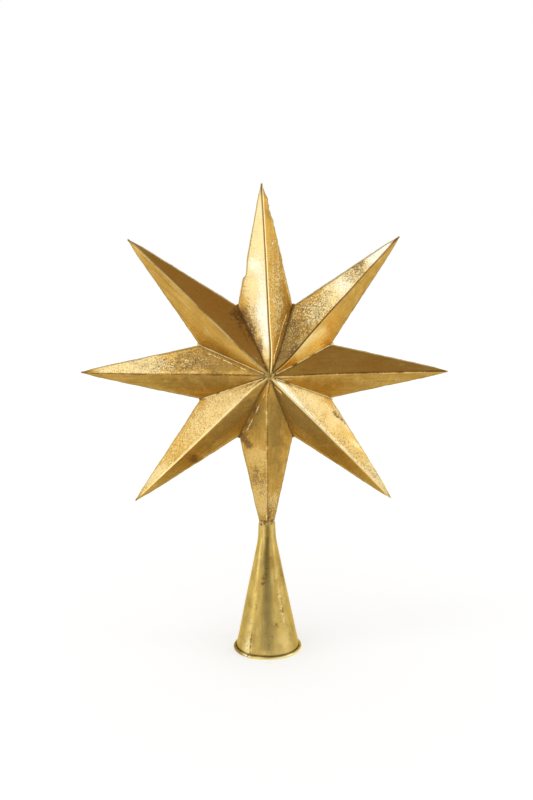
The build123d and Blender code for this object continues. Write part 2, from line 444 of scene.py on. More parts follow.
def blob(centre, radii, lump, seed, rings=12, sides=20):
    """Uneven rounded lump: its vertices and faces."""
    tilt = np.linspace(0, math.pi, rings + 1)[1:-1, None]
    turn = np.linspace(0, 2 * math.pi, sides, endpoint=False)
    ball = grid(np.sin(tilt) * np.cos(turn), np.sin(tilt) * np.sin(turn), np.cos(tilt)).reshape(-1, 3)
    ball = np.concatenate((ball, [(0, 0, 1), (0, 0, -1)]))
    ball *= (1 + lump * ripple(ball, 0.8, seed))[:, None]
    faces = ring_faces(rings - 1, sides)
    top, bottom, last = len(ball) - 2, len(ball) - 1, (rings - 2) * sides
    for column in range(sides):
        after = (column + 1) % sides
        faces.append((top, column, after))
        faces.append((bottom, last + after, last + column))
    return np.asarray(centre) + ball * radii, faces


def roof(x, y):
    """Outer face of a half ray before any unevenness: height above the mid plane."""
    fold = FOLD * (1 - x / REACH)
    return HALF_DEPTH * (1 - x / REACH - np.sqrt(y * y + fold * fold) / ROOT_WIDTH)


def from_valley(x, y):
    """Distance in plan from the nearest valley."""
    return x * math.sin(SECTOR) - np.abs(y) * math.cos(SECTOR)


def from_edge(x, y):
    """Distance in plan from the nearest outer edge."""
    return (REACH - x) * math.sin(EDGE_ANGLE) - np.abs(y) * math.cos(EDGE_ANGLE)


def half_width(x, turn, side):
    """Half width of a ray on one side, uneven along its outer edge and drawn in at the tip."""
    on_top = NAMES[turn] == "top"
    rough, mean = EDGE_ROUGH, 0
    if on_top and side < 0:
        rough = EDGE_ROUGH + RAGGED_ROUGH * smooth_step(x, RAGGED_START, RAGGED_FULL)
        mean = -0.5
    line = grid(x, 0, 0)
    seed = 80 + turn + 0.37 * side
    uneven = mean + ripple(line, 6 * MM, seed) + 0.7 * ripple(line, 2.6 * MM, seed + 0.5)
    nick = rough * MM * uneven * smooth_step(x, CORNER_ALONG, CORNER_ALONG + 8 * MM)
    nick = nick * (1 - smooth_step(x, TIP_CENTRE - 8 * MM, TIP_CENTRE))
    if on_top and side > 0:
        bite = smooth_step(x, BITE_START, BITE_DEEPEST) * (1 - smooth_step(x, BITE_DEEPEST, BITE_END))
        nick = nick + BITE_DEPTH * bite
    return plan_half(x, nick + EDGE_TAPER * smooth_step(x, TIP_CENTRE - 9 * MM, TIP_CENTRE))


def facet_seed(turn, outward):
    """Seed of a half ray's unevenness: the back has its own."""
    return turn + (BACK_SEED if outward == BACK else 0)


def facet(x, y, seed):
    """Outer face of a half ray as hand work leaves it: a little wavy and dished inside its borders."""
    point = grid(x, y, 0)
    border = np.minimum(from_valley(x, y), from_edge(x, y))
    inside = smooth_step(border, 0, 7 * MM)
    wavy = 0.2 * MM * ripple(point, 27 * MM, seed) + 0.07 * MM * ripple(point, 10 * MM, seed + 0.4)
    return roof(x, y) + inside * wavy


def half_ray(turn, outward):
    """Folded sheet of a half ray with its lap flange on the next ray."""
    seed = facet_seed(turn, outward)
    pile = Pile()
    inner, outer = np.linspace(0.5 * MM, CORNER_ALONG, 24), np.linspace(CORNER_ALONG, TIP_CENTRE, 42)
    x = np.concatenate((inner, outer[1:]))
    share = np.array((0.015, 0.035, 0.07, 0.13, 0.22, 0.34, 0.48, 0.63, 0.78, 0.9, 0.97, 1))
    share = np.concatenate((-share[::-1], (0,), share))
    under_bead = 0.35 * MM * np.clip((x - CORNER_ALONG) / (3 * MM), 0, 1)
    on_left = np.maximum(half_width(x, turn, -outward) - under_bead, 0.12 * MM)
    on_right = np.maximum(half_width(x, turn, outward) - under_bead, 0.12 * MM)
    across = np.where(share > 0, on_left[:, None], on_right[:, None]) * share
    along = np.repeat(x[:, None], len(share), 1)
    height = np.maximum(facet(along, plan_half(x)[:, None] * share, seed), 0.3 * MM)
    fold_shift = 0.22 * MM * ripple(grid(along, 0, 0), 16 * MM, seed + 0.7)
    off_tip = smooth_step(np.minimum(on_left, on_right), 0, 6 * MM)[:, None]
    wobble = fold_shift * np.exp(-np.abs(across) / (4 * MM)) * off_tip
    top = grid(along, across + wobble, height)
    bottom = grid(along, across + wobble, np.maximum(height - SHEET_DROP, 0.1 * MM))
    points, faces = slab(top, bottom)
    pile.add_leaf(points, faces, grid(along, across, height), turn, outward)
    add_flange(pile, turn, outward, seed)
    return pile


def add_flange(pile, turn, outward, seed):
    """Strip of the ray's sheet that is turned onto the next ray's face along the valley."""
    after = (turn + 1) % RAYS
    rise = math.sqrt(HALF_DEPTH**2 + CORNER_REACH**2)
    run = np.linspace(LAP_FROM_APEX, rise - LAP_FROM_CORNER, 44) * (CORNER_REACH / rise)
    ends = np.minimum((run - run[0]) / (2 * LAP_WIDTH), (run[-1] - run) / LAP_WIDTH)
    line = grid(run, 0, 0)
    width = LAP_WIDTH * np.clip(ends + 0.12, 0, 1) * (1 + 0.16 * ripple(line, 9 * MM, seed + 0.2))
    across = width[:, None] * np.array((-0.08, 0.15, 0.4, 0.65, 0.8, 0.92, 1.0))
    x = run[:, None] * math.cos(SECTOR) + across * math.sin(SECTOR)
    y = -run[:, None] * math.sin(SECTOR) + across * math.cos(SECTOR)
    ground = facet(x, y, facet_seed(after, outward))
    level = LAP_SHINE.get(like(after, outward), 0.0)
    proud = 0.03 * MM + (0.06 + 0.22 * level) * MM * smooth_step(ends, 0.3, 1.3)[:, None]
    proud = proud * np.array((1.0, 1.0, 1.0, 1.0, 1.0, 0.9, 0.6))
    points, faces = slab(grid(x, y, ground + proud), grid(x, y, ground - 0.15 * MM))
    # Painted highlight with rubbed wear: the strip's free edge is painted bright in broken runs
    shine = ripple(line, 6 * MM, seed + 0.6) + 0.6 * ripple(line, 2 * MM, seed + 0.8)
    shine = smooth_step(shine, -0.25, 0.2) * smooth_step(ends, 0.9, 1.3)
    rubbed_and_highlight = (level * shine[:, None] * np.array((0, 0, 0, 0, 0.5, 1.0, 1.0))).ravel()
    pile.add_leaf(points, faces, grid(x, y + 2 * MM, ground), after, outward, rubbed_and_highlight)


def edge_solder():
    """Uneven solder beads round the outer edges, with a lump at each tip."""
    pile = Pile()
    inset = SEAM / math.cos(EDGE_ANGLE)
    x = np.linspace(CORNER_ALONG - 0.4 * MM, TIP_CENTRE, 90)
    for turn in range(RAYS):
        angle = ray_angle(turn)
        for side in (-1, 1):
            y = side * np.maximum(half_width(x, turn, side) - inset, 0.1 * MM)
            local = grid(x, y, 0)
            radius = SEAM * (0.86 + 0.16 * ripple(local, 2.6 * MM, turn + side * 0.3))
            radius = radius * (1 - 0.35 * smooth_step(x, 100 * MM, TIP_CENTRE))
            points, faces = tube(to_row_frame(local, turn, FRONT), radius, (0, 1, 0))
            # Painted highlight: beads on edges that face upwards are painted paler
            facing_up = math.sin(angle + side * (math.pi / 2 - EDGE_ANGLE))
            pale = 0.35 + 0.45 * smooth_step(facing_up, -0.1, 0.4)
            pile.add(points, faces, wear=(pale, 0, 0))
        tip = to_row_frame(np.array((TIP_CENTRE, 0, 0)), turn, FRONT)
        points, faces = blob((0, 0, 0), TIP_ROUND * np.array((0.93, 0.5, 0.6)), 0.1, turn + 0.9)
        along, up = math.cos(angle), math.sin(angle)
        spin = np.array(((along, 0, up), (-up, 0, along), (0, 1, 0)))
        wear = (0.9, 0, 0) if NAMES[turn] in BRIGHT_TIPS else (0, 0.35, 0)
        pile.add(tip + points @ spin, faces, wear=wear)
    return pile


def corner_solder():
    """Solder lumps in the notches, and the thin seam that runs from each one up the valleys."""
    pile = Pile()
    sides = 8
    run = np.linspace(4 * MM, CORNER_REACH - 0.6 * MM, 70)
    for turn in range(RAYS):
        for outward in (FRONT, BACK):
            x, y = run * math.cos(SECTOR), -outward * run * math.sin(SECTOR)
            line = grid(x, y, roof(x, y) + 0.12 * MM)
            seed = turn + 0.2 * outward
            bright = BRIGHT_VALLEYS.get(like(turn, outward), 0.0)
            radius = (0.4 + 0.14 * bright) * MM * (0.85 + 0.4 * ripple(line, 3 * MM, seed + 50))
            points, faces = tube(to_row_frame(line, turn, outward), radius, (0.3, 1, 0.2), sides)
            # Painted highlight: broken glints along the seams of the listed valleys, dark brown elsewhere
            shine = bright * smooth_step(ripple(line, 7 * MM, seed + 55), -0.55, -0.2)
            pile.add(points, faces, wear=np.repeat(grid(shine, 0.9 - 0.9 * shine, 0), sides, 0))
        notch = to_row_frame(np.array((CORNER_ALONG, CORNER_ACROSS, 0)), turn, FRONT)
        # Painted highlight: the listed notch lumps are bigger and painted pale
        bright = NAMES[turn] in BRIGHT_NOTCHES
        size = CORNER_BEAD * (0.95 if bright else 0.62 + 0.1 * ripple(notch, 9 * MM, 3.3))
        points, faces = blob(notch, size, 0.16, turn + 0.5)
        pile.add(points, faces, wear=(1, 0, 0) if bright else (0, 0.7, 0))
    return pile


def centre_solder(outward):
    """Flat uneven dome over the meeting point of the ridges."""
    pile = Pile()
    reach = 3.6 * MM
    radius = np.linspace(0.02, 1, 12)[:, None]
    turn = np.linspace(0, 2 * math.pi, 49)
    seed = 40 + outward
    edge = reach * (1 + 0.16 * ripple(grid(np.cos(turn), np.sin(turn), 0), 0.9, seed))
    x = radius * edge * np.cos(turn)
    y = radius * edge * np.sin(turn)
    crown = HALF_DEPTH - (HALF_DEPTH / CORNER_REACH) * reach * radius**2
    top = crown - 0.12 * MM + 0.12 * MM * ripple(grid(x, y, 0), 1.8 * MM, seed)
    points, faces = slab(grid(x, y, np.minimum(top, HALF_DEPTH - 0.01 * MM)), grid(x, y, top - 1.2 * MM))
    pile.add(to_row_frame(points, 0, outward), faces)
    return pile


def lathe(outer, inner, turns):
    """Sheet of revolution between two profiles (radius, z), one row a turn: its vertices and faces."""
    angle = turns if turns.ndim == 2 else turns[:, None]
    rows = []
    for profile in (outer, inner):
        radius, height = profile[..., 0], profile[..., 1]
        rows.append(grid(radius * np.cos(angle), radius * np.sin(angle), height))
    return slab(*rows)


def cone_profile(depth):
    """Section of the cone at a depth in its sheet, from the end of the curl up to the neck's mouth,
    and how many of its points are on the curl."""
    shoulder = np.array((NECK_RADIUS - depth, SHOULDER_Z))
    mouth = np.array((MOUTH_RADIUS - depth, NECK_TOP))
    down = Vector((WIRE_RING, WIRE_Z)) - Vector(shoulder)
    round_wire = WIRE_RADIUS + depth
    lean = math.atan2(down.x, -down.y) - math.asin(round_wire / down.length)
    turn = math.pi + lean + np.linspace(CURL_TURN, 0, 30)
    curl = np.stack((WIRE_RING + round_wire * np.cos(turn), WIRE_Z + round_wire * np.sin(turn)), -1)
    curl[:, 1] = np.maximum(curl[:, 1], 0)
    foot = curl[-1]
    wall = foot + (shoulder - foot) * np.linspace(0, 1, 46)[1:-1, None]
    neck = shoulder + (mouth - shoulder) * np.linspace(0, 1, 10)[:, None]
    upper = np.concatenate((wall, neck))
    near = np.abs(upper[:, 1] - SHOULDER_Z) < SHOULDER_BEND
    for _ in range(5):
        bend = np.convolve(upper[:, 0], (0.25, 0.5, 0.25), "same")
        upper[near, 0] = bend[near]
    return np.concatenate((curl, upper)), len(curl)


def socket_cone():
    """Rolled cone, slightly dented, with its lapped side seam and rolled lower edge."""
    pile = Pile()
    outer, curl_count = cone_profile(0)
    inner, _ = cone_profile(CONE_SHEET)
    turn = np.linspace(0, 2 * math.pi, 181)[:, None]
    in_curl = np.arange(len(outer)) < curl_count
    slit = np.where(in_curl, CURL_SLIT / RIM_RADIUS, 0)
    angles = LAP_EDGE + turn * (1 - slit / math.pi) + slit
    height = np.repeat(outer[None, :, 1], len(turn), 0)
    on_wall = smooth_step(height, 2.3 * MM, 4 * MM) * (1 - smooth_step(height, 70 * MM, 74 * MM))
    leaf = CONE_SHEET * np.clip(1 - turn / LAP_FADE, 0, 1) * np.where(in_curl, 0, on_wall)
    at = grid(0.02 * np.cos(turn), 0.02 * np.sin(turn), height)
    free = smooth_step(height, 2 * MM, 12 * MM) * (1 - smooth_step(height, 72 * MM, 80 * MM))
    dent = free * (0.16 * MM * ripple(at, 22 * MM, 61) + 0.05 * MM * ripple(at, 8 * MM, 62))
    end = 0.25 * MM * (1 - smooth_step(turn, 0, CURL_END)) * in_curl
    uneven = leaf + dent + end
    grids = [np.stack(np.broadcast_arrays(p[:, 0] + uneven, p[:, 1]), -1) for p in (outer, inner)]
    points, faces = lathe(*grids, angles)
    pile.add(points, faces, **cone_marks(points))
    return pile


def cone_marks(points):
    """Spots on the cone: how much of each kind a point has."""
    angle = np.degrees(np.arctan2(points[:, 1], points[:, 0])) % 360
    shares = {kind: np.zeros(len(points)) for kind in ("pale", "brown", "olive", "bright")}
    for kind, spots in CONE_SPOTS.items():
        for at, height, width, length, strength in spots:
            off = (angle - at + 180) % 360 - 180
            shares[kind] += strength * spot(off / width, (points[:, 2] / MM - height) / length)
    wear = grid(shares["pale"], shares["brown"], shares["olive"])
    tint = grid(shares["bright"], 0, 0)
    return {"wear": np.clip(wear, 0, 2), "tint": np.clip(tint, 0, 2)}


def neck_solder():
    """Uneven solder where the lowest ray stands in the neck: a collar, a run across the ray and lumps."""
    pile = Pile()
    turn = np.linspace(0, 2 * math.pi, 97)
    inside = 1 - CONE_SHEET / MOUTH_RADIUS
    width = np.array((inside, inside, 0.995, 0.98, 0.93, 0.85, 0.74, 0.5)) * MOUTH_RADIUS
    above = np.array((-1.5, -0.2, 0.02, 0.4, 1.0, 1.7, 2.4, 2.7)) * MM
    circle = grid(np.cos(turn), np.sin(turn), 0)
    uneven = 1 + 0.07 * ripple(circle, 0.45, 71)
    rise = 1 + 0.7 * ripple(circle, 0.6, 72)
    radius = width * np.where(above > 0.1 * MM, uneven[:, None], 1)
    height = NECK_TOP + above * np.where(above > 0, rise[:, None], 1)
    outer = np.stack((radius, height), -1)
    inner = np.stack((radius * 0.6, height - 0.4 * MM), -1)
    points, faces = lathe(outer, inner, turn)
    pile.add(points, faces, wear=(0.35, 0, 0))
    x = np.linspace(94, 104, 30) * MM
    y = np.linspace(2.4, -1.5, 30) * MM
    local = grid(x, y, roof(x, y) - 0.15 * MM)
    size = 0.7 * MM * (0.85 + 0.5 * ripple(local, 2.2 * MM, 73)) * np.sin(np.linspace(0.25, 2.4, 30))
    points, faces = tube(to_row_frame(local, 0, FRONT), size, (0, 1, 0), sides=12)
    pile.add(points, faces, wear=(0, 0.6, 0))
    reach = MOUTH_RADIUS * 0.93
    for degrees, over, size, dark in NECK_LUMPS:
        angle = math.radians(degrees)
        centre = (reach * math.cos(angle), reach * math.sin(angle), NECK_TOP + over * MM)
        radii = np.array((0.9, 0.9, 0.75)) * size * MM
        points, faces = blob(centre, radii, 0.25, angle, rings=9, sides=14)
        pile.add(points, faces, wear=(0.3 - 0.3 * dark, dark, 0))
    return pile


# Sockets of a mix node that are for colours, by number
MIX_COLOURS, MIX_RESULT = (6, 7), 2


class Graph:
    """Short hand for the nodes of a material or of the world."""

    def __init__(self, owner, shader="Principled BSDF"):
        owner.use_nodes = True
        self.owner = owner
        self.tree = owner.node_tree
        self.shader = self.tree.nodes[shader]

    def node(self, kind, **settings):
        made = self.tree.nodes.new(kind)
        for key, value in settings.items():
            setattr(made, key, value)
        return made

    def put(self, value, socket):
        if isinstance(value, bpy.types.NodeSocket):
            self.tree.links.new(value, socket)
        else:
            socket.default_value = value

    def feed(self, name, value):
        """Value of one of the shader's own inputs."""
        self.put(value, self.shader.inputs[name])

    def coordinates(self, kind="Object"):
        return self.node("ShaderNodeTexCoord").outputs[kind]

    def math(self, kind, first, second=0.0, clamp=False):
        made = self.node("ShaderNodeMath", operation=kind, use_clamp=clamp)
        self.put(first, made.inputs[0])
        self.put(second, made.inputs[1])
        return made.outputs[0]

    def times(self, first, second):
        return self.math("MULTIPLY", first, second)

    def total(self, *values):
        result = values[0]
        for value in values[1:]:
            result = self.math("ADD", result, value)
        return result

    def length(self, x, y):
        return self.math("SQRT", self.total(self.times(x, x), self.times(y, y)))

    def vary(self, value, *noises):
        """Value plus each noise's deviation from its mean, times the amount given with it."""
        for pattern, amount in noises:
            value = self.total(value, self.times(self.math("SUBTRACT", pattern, 0.5), amount))
        return value

    def ramp(self, value, low, high, start=0.0, end=1.0):
        """Value from start at low to end at high, smoothly."""
        made = self.node("ShaderNodeMapRange", interpolation_type="SMOOTHSTEP")
        self.put(value, made.inputs["Value"])
        for key, number in (("From Min", low), ("From Max", high), ("To Min", start), ("To Max", end)):
            self.put(number, made.inputs[key])
        return made.outputs["Result"]

    def mix(self, share, first, second):
        """Colour from the first at share 0 to the second at share 1."""
        made = self.node("ShaderNodeMix", data_type="RGBA")
        self.put(share, made.inputs["Factor"])
        for value, number in zip((first, second), MIX_COLOURS):
            value = (*value, 1.0) if isinstance(value, tuple) else value
            self.put(value, made.inputs[number])
        return made.outputs[MIX_RESULT]

    def layers(self, colour, *rows):
        """Colours one over another, each as its value goes from low to high, up to a share."""
        for value, low, high, most, over in rows:
            colour = self.mix(self.ramp(value, low, high, 0.0, most), colour, over)
        return colour

    def noise(self, where, size, detail=4.0, roughness=0.55):
        made = self.node("ShaderNodeTexNoise")
        self.put(where, made.inputs["Vector"])
        self.put(1 / size, made.inputs["Scale"])
        self.put(detail, made.inputs["Detail"])
        self.put(roughness, made.inputs["Roughness"])
        return made.outputs["Fac"]

    def cracks(self, where, size):
        """Distance from the nearest border of irregular cells, in cells."""
        made = self.node("ShaderNodeTexVoronoi", feature="DISTANCE_TO_EDGE")
        self.put(where, made.inputs["Vector"])
        self.put(1 / size, made.inputs["Scale"])
        return made.outputs["Distance"]

    def shift(self, where, amount):
        """Coordinates moved by the same amount along each axis."""
        made = self.node("ShaderNodeVectorMath", operation="ADD")
        self.put(where, made.inputs[0])
        self.put(self.combine(amount, amount, amount), made.inputs[1])
        return made.outputs[0]

    def attribute(self, name):
        """Components of a point attribute."""
        made = self.node("ShaderNodeAttribute", attribute_name=name)
        return self.axes(made.outputs["Vector"])

    def axes(self, vector):
        made = self.node("ShaderNodeSeparateXYZ")
        self.put(vector, made.inputs[0])
        return made.outputs["X"], made.outputs["Y"], made.outputs["Z"]

    def combine(self, x, y, z):
        made = self.node("ShaderNodeCombineXYZ")
        for value, socket in zip((x, y, z), made.inputs):
            self.put(value, socket)
        return made.outputs[0]

    def bump(self, height, depth, strength, below=None):
        made = self.node("ShaderNodeBump")
        self.put(strength, made.inputs["Strength"])
        self.put(depth, made.inputs["Distance"])
        self.put(height, made.inputs["Height"])
        if below is not None:
            self.put(below, made.inputs["Normal"])
        return made.outputs["Normal"]

    def lacquer(self, weight, roughness):
        """Thin clear coat, and golden reflections at glancing angles."""
        self.feed("Specular Tint", (1.0, 0.83, 0.38, 1))
        self.feed("Coat Weight", weight)
        self.feed("Coat Roughness", roughness)
        self.feed("Coat IOR", 1.6)


# Colours of the finish and of the painted light and shade, linear
GOLD = (0.55, 0.32, 0.055)
DEEP_GOLD = (0.46, 0.255, 0.036)
PALE_GOLD = (0.70, 0.55, 0.26)
WARM_GOLD = (0.68, 0.42, 0.085)
BRIGHT_GOLD = (0.95, 0.84, 0.40)
WHITE_GOLD = (0.77, 0.71, 0.54)
RIDGE_HIGHLIGHT_GOLD = (0.90, 0.68, 0.29)
RUBBED_AND_HIGHLIGHT_GOLD = (0.86, 0.71, 0.38)
BROWN = (0.16, 0.07, 0.015)
UMBER = (0.46, 0.19, 0.018)
OLIVE = (0.25, 0.145, 0.022)
SPECKLE = (0.27, 0.15, 0.03)
PAINTED_SHADE_BROWN = (0.08, 0.05, 0.018)
BRASS = (0.55, 0.38, 0.085)
BRIGHT_BRASS = (0.76, 0.56, 0.18)
SOLDER = (0.42, 0.30, 0.09)
STEEL = (0.42, 0.40, 0.37)
BRIGHT_STEEL = (0.55, 0.53, 0.50)
RUST = (0.16, 0.065, 0.025)


def gilt_leaf():
    """Old gold leaf on folded sheet: rubbed, tarnished and crackled, with painted shade in the valleys,
    and painted highlight and shade lines along the ridges and lap edges.
    """
    graph = Graph(bpy.data.materials.new("gilt_leaf"))
    where = graph.coordinates()
    along, across, ray = graph.attribute("ray_place")
    pale, brown, crackle = graph.attribute("wear")
    olive, warm, umber = graph.attribute("tint")
    bright, dark, rubbed_and_highlight = graph.attribute("line")
    cloud = graph.noise(where, 26 * MM, detail=2)
    mottle = graph.noise(where, 6 * MM, detail=5, roughness=0.62)
    fleck = graph.noise(where, 1.7 * MM, detail=3, roughness=0.65)
    grain = graph.noise(where, 0.95 * MM, detail=1.5, roughness=0.6)
    stretched = graph.combine(graph.times(along, 0.08), across, graph.times(ray, 0.04))
    streak = graph.noise(stretched, 1.5 * MM)

    # Stain, tarnish, paleness and warmth follow the patches: partly the leaf's own colour, partly painted
    # shade and painted highlights
    stain_and_shade = graph.vary(umber, (cloud, 0.6), (mottle, 0.4))
    tarnish_and_shade = graph.vary(olive, (mottle, 0.8), (fleck, 0.3))
    paleness_and_highlight = graph.vary(pale, (mottle, 1.0), (fleck, 0.5), (grain, 0.9))
    warmth_and_highlight = graph.vary(warm, (mottle, 0.7), (fleck, 0.3))
    leaf = graph.layers(
        GOLD,
        (cloud, 0.38, 0.66, 1.0, DEEP_GOLD),
        (mottle, 0.54, 0.74, 0.4, OLIVE),
        (mottle, 0.46, 0.26, 0.35, PALE_GOLD),
        (streak, 0.5, 0.8, 0.35, PALE_GOLD),
        (streak, 0.5, 0.22, 0.45, BROWN),
        (stain_and_shade, 0.1, 0.95, 0.9, UMBER),
        (tarnish_and_shade, 0.25, 0.85, 0.85, OLIVE),
        (paleness_and_highlight, 0.34, 0.6, 1.0, PALE_GOLD),
        (paleness_and_highlight, 1.0, 1.6, 1.0, WHITE_GOLD),
        (warmth_and_highlight, 0.2, 0.9, 0.85, WARM_GOLD),
        (warmth_and_highlight, 1.0, 1.6, 1.0, BRIGHT_GOLD),
    )
    varnish = graph.vary(brown, (mottle, 1.3), (fleck, 1.0), (grain, 1.4))
    varnish = graph.times(graph.ramp(varnish, 0.35, 0.7), graph.ramp(brown, 0.02, 0.2))
    leaf = graph.mix(graph.times(varnish, 0.9), leaf, BROWN)

    strewn = graph.ramp(graph.total(graph.vary(crackle, (mottle, 0.9)), 0.2), 0.0, 1.0)
    speckle = graph.times(graph.ramp(grain, 0.52, 0.36), strewn)
    leaf = graph.mix(graph.times(speckle, 0.8), leaf, SPECKLE)
    sparkle = graph.times(graph.ramp(grain, 0.5, 0.66), strewn)
    leaf = graph.mix(graph.times(sparkle, 0.7), leaf, PALE_GOLD)
    bent = graph.noise(where, 4 * MM, detail=3)
    crack = graph.cracks(graph.shift(where, graph.vary(0.0, (bent, 3 * MM))), 2.6 * MM)
    broken = graph.ramp(graph.vary(crackle, (mottle, 1.2)), 0.5, 1.0)
    crack = graph.times(graph.ramp(crack, 0.12, 0.03), broken)
    loss = graph.ramp(fleck, 0.63, 0.74)
    scar = graph.math("MAXIMUM", graph.times(crack, 0.6), graph.times(loss, 0.7))
    leaf = graph.mix(graph.times(scar, 0.7), leaf, BROWN)

    # Painted shade: the leaf darkens towards each valley, where its faces fold together
    from_ridge = graph.math("ABSOLUTE", across)
    off_valley = graph.math(
        "SUBTRACT", graph.times(along, math.sin(SECTOR)), graph.times(from_ridge, math.cos(SECTOR))
    )
    painted_shade = graph.ramp(graph.vary(off_valley, (mottle, 2.5 * MM)), 1.6 * MM, 0.1 * MM, 0.0, 0.6)
    leaf = graph.mix(painted_shade, leaf, PAINTED_SHADE_BROWN)
    # Painted highlight line along the ridge fold, and a painted shade line beside it
    dash_at = graph.combine(along, graph.times(ray, 0.05), 0.0)
    dash = graph.noise(dash_at, 17 * MM, detail=5, roughness=0.75)
    lines = []
    for off_ridge in (0.35 * MM, -0.35 * MM):
        from_line = graph.math("ABSOLUTE", graph.total(across, off_ridge))
        lines.append(graph.ramp(from_line, 0.62 * MM, 0.3 * MM))
    ridge_highlight = graph.times(lines[0], graph.ramp(graph.total(bright, dash), 0.92, 1.2))
    leaf = graph.mix(ridge_highlight, leaf, RIDGE_HIGHLIGHT_GOLD)
    # Painted highlight with rubbed wear on the lap strips' free edges
    leaf = graph.mix(graph.times(rubbed_and_highlight, graph.ramp(grain, 0.4, 0.56)), leaf, RUBBED_AND_HIGHLIGHT_GOLD)
    ridge_shade = graph.times(lines[1], graph.ramp(graph.math("SUBTRACT", dark, dash), -0.1, 0.12))
    leaf = graph.mix(graph.times(ridge_shade, 0.85), leaf, BROWN)
    tip = graph.ramp(graph.vary(along, (mottle, 6 * MM)), TIP_CENTRE - 4 * MM, TIP_CENTRE)
    leaf = graph.mix(graph.times(tip, 0.35), leaf, BROWN)
    graph.feed("Base Color", leaf)

    dull = graph.total(
        graph.vary(0.28, (mottle, 0.2)),
        graph.times(strewn, 0.08),
        graph.times(scar, 0.15),
        graph.times(painted_shade, 0.25),
    )
    graph.feed("Roughness", graph.math("MINIMUM", graph.math("MAXIMUM", dull, 0.18), 0.7))
    shade_and_scar = graph.times(graph.math("MAXIMUM", painted_shade, scar), 0.4)
    graph.feed("Metallic", graph.math("SUBTRACT", 1.0, shade_and_scar))
    graph.lacquer(0.2, 0.25)

    dents = graph.bump(graph.noise(where, 9 * MM, detail=2), 0.35 * MM, 0.5)
    tooth = graph.total(
        fleck,
        graph.times(streak, 0.6),
        graph.times(scar, -0.7),
        graph.times(graph.times(grain, strewn), 0.8),
    )
    graph.feed("Normal", graph.bump(tooth, 0.05 * MM, 0.8, below=dents))
    return graph.owner


def cone_brass():
    """Satin brass sheet with a thin gilt wash: rolling streaks and specks, painted highlights, and a
    painted shade line above the rolled edge with a painted highlight on the curl.
    """
    graph = Graph(bpy.data.materials.new("cone_brass"))
    where = graph.coordinates()
    x, y, height = graph.axes(where)
    pale, brown, olive = graph.attribute("wear")
    bright, _, _ = graph.attribute("tint")
    mottle = graph.noise(where, 9 * MM, detail=5, roughness=0.6)
    fleck = graph.noise(where, 1.6 * MM, detail=3)
    streak = graph.noise(graph.combine(x, y, graph.times(height, 0.08)), 2.0 * MM)
    # Bright spots are painted highlights; olive spots are partly tarnish and partly painted shade
    painted_highlight = graph.vary(bright, (mottle, 0.6))
    tarnish_and_shade = graph.vary(olive, (mottle, 1.0))
    brass = graph.layers(
        BRASS,
        (painted_highlight, 0.1, 0.9, 1.0, BRIGHT_BRASS),
        (mottle, 0.35, 0.8, 0.6, OLIVE),
        (streak, 0.5, 0.75, 0.4, PALE_GOLD),
        (streak, 0.48, 0.25, 0.35, DEEP_GOLD),
        (painted_highlight, 1.0, 1.7, 0.8, BRIGHT_GOLD),
        (tarnish_and_shade, 0.1, 0.9, 0.7, OLIVE),
    )
    speck = graph.total(graph.vary(fleck, (mottle, 0.3)), graph.times(brown, 0.22))
    speck = graph.ramp(speck, 0.64, 0.73)
    brass = graph.mix(graph.times(speck, 0.75), brass, BROWN)
    glint = graph.math("SUBTRACT", graph.vary(fleck, (mottle, 0.35)), graph.times(pale, 0.16))
    brass = graph.mix(graph.ramp(glint, 0.33, 0.25, 0.0, 0.8), brass, PALE_GOLD)
    # Painted shade: a dark line in the bend just above the rolled edge; below it the curl gets a painted
    # highlight
    low = graph.vary(height, (mottle, 2 * MM))
    painted_shade = graph.times(graph.ramp(low, 1.8 * MM, 2.2 * MM), graph.ramp(low, 3.0 * MM, 2.3 * MM))
    brass = graph.mix(graph.times(painted_shade, 0.4), brass, PAINTED_SHADE_BROWN)
    rubbed_and_highlight = graph.ramp(height, 2.1 * MM, 1.2 * MM, 0.0, 0.9)
    rubbed_and_highlight = graph.math("SUBTRACT", rubbed_and_highlight, olive, clamp=True)
    brass = graph.mix(rubbed_and_highlight, brass, BRIGHT_GOLD)
    graph.feed("Base Color", brass)
    dull = graph.total(graph.vary(0.23, (mottle, 0.16), (streak, 0.12)), graph.times(painted_shade, 0.2))
    graph.feed("Roughness", dull)
    graph.feed("Metallic", 1.0)
    graph.lacquer(0.3, 0.3)
    dents = graph.bump(graph.noise(where, 12 * MM, detail=2), 0.3 * MM, 0.5)
    grain = graph.total(fleck, streak, graph.times(speck, -0.8))
    graph.feed("Normal", graph.bump(grain, 0.03 * MM, 0.8, below=dents))
    return graph.owner


def gilt_solder():
    """Soft solder under a thin, dull gilt wash."""
    graph = Graph(bpy.data.materials.new("gilt_solder"))
    where = graph.coordinates()
    pale, brown, _ = graph.attribute("wear")
    mottle = graph.noise(where, 3 * MM, detail=5, roughness=0.6)
    fleck = graph.noise(where, 1.0 * MM, detail=3)
    metal = graph.layers(
        SOLDER,
        (mottle, 0.35, 0.65, 1.0, DEEP_GOLD),
        (fleck, 0.58, 0.75, 0.75, BROWN),
        (fleck, 0.42, 0.3, 0.7, PALE_GOLD),
    )
    # Pale paints highlights on up-facing edge beads, glinting valley seams and the bright notch lumps;
    # elsewhere it is rubbed wear
    metal = graph.mix(graph.times(pale, 0.9), metal, RUBBED_AND_HIGHLIGHT_GOLD)
    metal = graph.mix(graph.times(brown, 0.8), metal, BROWN)
    graph.feed("Base Color", metal)
    graph.feed("Roughness", graph.vary(0.38, (mottle, 0.3)))
    graph.feed("Metallic", 0.9)
    lumps = graph.bump(mottle, 0.25 * MM, 0.6)
    graph.feed("Normal", graph.bump(fleck, 0.06 * MM, 0.7, below=lumps))
    return graph.owner


